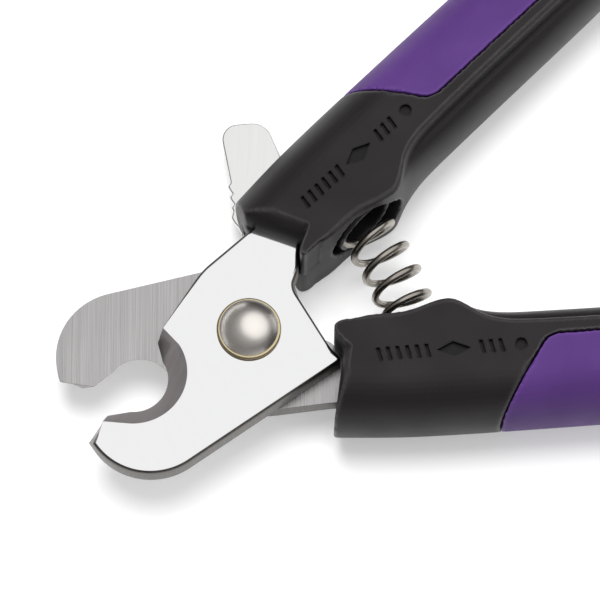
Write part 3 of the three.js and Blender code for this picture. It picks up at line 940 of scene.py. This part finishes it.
# %% The wave washer: height = middle + rise * cos(3 * angle)
WAVE_MIDDLE, WAVE_RISE, WAVE_THICKNESS = 2.575, 0.16, 0.25
wave_washer = turned("wave_washer_ring", washer_profile(3.6, 0, WAVE_THICKNESS, 0.04))
wave_points = read(wave_washer.data.vertices, "co", 3)
wave_angle = np.arctan2(wave_points[:, 1], wave_points[:, 0])
wave_points[:, 2] += (WAVE_MIDDLE + WAVE_RISE * np.cos(3 * wave_angle)) * MM
wave_washer.data.vertices.foreach_set("co", wave_points.ravel())
hand_over(shade(wave_washer, flat_faces=False), "upper_half", "wave_washer", "satin_steel", washer_steel)

# %% The nut, with its chamfered corners
NUT_ACROSS_FLATS, NUT_HEIGHT, NUT_EASE = 7.6, 2.3, 0.25
nut_corners = arc((0, 0), NUT_ACROSS_FLATS / np.sqrt(3), 0, 300, 5)
nut = slab("closed_nut", rounded(nut_corners, NUT_EASE), 0, NUT_HEIGHT, NUT_EASE)
combine(nut, rod(SHANK_RADIUS + 0.08, 0.65, 5))
hand_over(shade(nut), "upper_half", "pivot_nut", "satin_steel", nut_steel)

# %% The guard
guard = slab("polished_guard", guard_outline(), GUARD_BACK, GUARD_FRONT, 0.22)
combine(guard, rod(SHANK_RADIUS + 0.1, 0, 9))
hand_over(shade(guard), "guard", "safety_guard", "polished_steel", guard_steel)

# %% [markdown]
# ## The spring
# A compression spring bowed a little away from the pivot. A curve with a round bevel would do for
# its looks, but here the wire is a tube worked out along a helix.

# %% Wind the wire
REACH, BOW, COIL, WIRE, PITCH = 10.4, 40.0, 3.25, 0.47, 3.22
SPRING_X, TURN_START = 19.85, 0.47


def coil_line(share):
    """The helix: a turn for each pitch of reach, about a centre line that is part of a wide circle."""
    reach = REACH * (2 * share - 1)
    along = np.arcsin(reach / BOW)
    turn = 2 * np.pi * (reach + TURN_START) / PITCH
    radius = BOW + COIL * np.cos(turn)
    x = SPRING_X - BOW + radius * np.cos(along)
    return np.stack([x, radius * np.sin(along), SHEAR_PLANE - COIL * np.sin(turn)], -1)


def make_spring(name, steps=380, sides=20):
    """At each step the wire's circle stands square to the helix: one axis towards the coil's middle,
    the other square to that and to the helix."""
    share = np.linspace(0, 1, steps)
    line = coil_line(share)
    ahead = np.gradient(line, axis=0)
    ahead = ahead / np.linalg.norm(ahead, axis=1, keepdims=True)
    reach = REACH * (2 * share - 1)
    heart_x = SPRING_X - BOW + np.sqrt(BOW ** 2 - reach ** 2)
    heart = np.stack([heart_x, reach, np.full(steps, SHEAR_PLANE)], -1)
    outward = line - heart
    outward = outward - np.sum(outward * ahead, 1, keepdims=True) * ahead
    outward = outward / np.linalg.norm(outward, axis=1, keepdims=True)
    side = np.cross(ahead, outward)
    angle = np.linspace(0, 2 * np.pi, sides, endpoint=False)[None, :, None]
    ring = line[:, None] + WIRE * (outward[:, None] * np.cos(angle) + side[:, None] * np.sin(angle))
    spring = stack(name, ring)
    corner = np.zeros(len(spring.data.loops), np.int32)
    spring.data.loops.foreach_get("vertex_index", corner)
    uv = np.stack([corner // sides / steps, corner % sides / sides], -1).astype(np.float32)
    spring.data.uv_layers.new(name="wire").data.foreach_set("uv", uv.ravel())
    return spring


# %% Wire steel, with the long marks of drawing
def make_wire_steel():
    """Lines along the wire, on its own map: u along the wire and v round it."""
    material = bpy.data.materials.new("drawn_wire")
    material.use_nodes = True
    tree = material.node_tree
    shader = tree.nodes["Principled BSDF"]
    shader.inputs["Metallic"].default_value = 1.0
    where = add(tree, "UVMap", {}, uv_map="wire")
    spread = add(tree, "Mapping", {"Vector": where.outputs[0], "Scale": (60, 20, 1)})
    effect = use_group(tree, ground_lines, Place=spread.outputs[0], Width=2.0, Length=0.5)
    drawn = ranged(tree, effect["Lines"], 0, 1)
    tint = mixed(tree, drawn, (0.23, 0.21, 0.18, 1), (0.47, 0.44, 0.40, 1))
    tree.links.new(tint, shader.inputs["Base Color"])
    tree.links.new(ranged(tree, effect["Streaks"], 0.2, 0.36), shader.inputs["Roughness"])
    relief(tree, shader, effect["Lines"], 0.4, 0.004)
    return material


spring = make_spring("coil_spring")
shade(spring, flat_faces=False)
hand_over(spring, None, "handle_spring", "spring_steel", make_wire_steel())
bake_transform(spring)

# %% [markdown]
# ## The table
# A plain pale floor just under the nut and the handles' backs. It glows a little, as a light table
# does, which keeps the shadows pale. More light from above would do so too, but would burn out
# the polished steel.

# %% Floor
FLOOR_REACH, FLOOR_LEVEL = 1500, -0.05
floor_corners = FLOOR_REACH * np.array([(-1, -1), (1, -1), (1, 1), (-1, 1)])
floor_points = np.column_stack([floor_corners, np.full(4, FLOOR_LEVEL)])
floor = new_object("floor", floor_points, [[0, 1, 2, 3]])
paper, _, paper_shader, _ = new_material("pale_paper", 0.0)
paper_shader.inputs["Base Color"].default_value = (0.66, 0.66, 0.66, 1)
paper_shader.inputs["Roughness"].default_value = 0.7
paper_shader.inputs["Specular IOR Level"].default_value = 0.1
paper_shader.inputs["Emission Color"].default_value = (1, 1, 1, 1)
paper_shader.inputs["Emission Strength"].default_value = 0.36
floor.data.materials.append(paper)
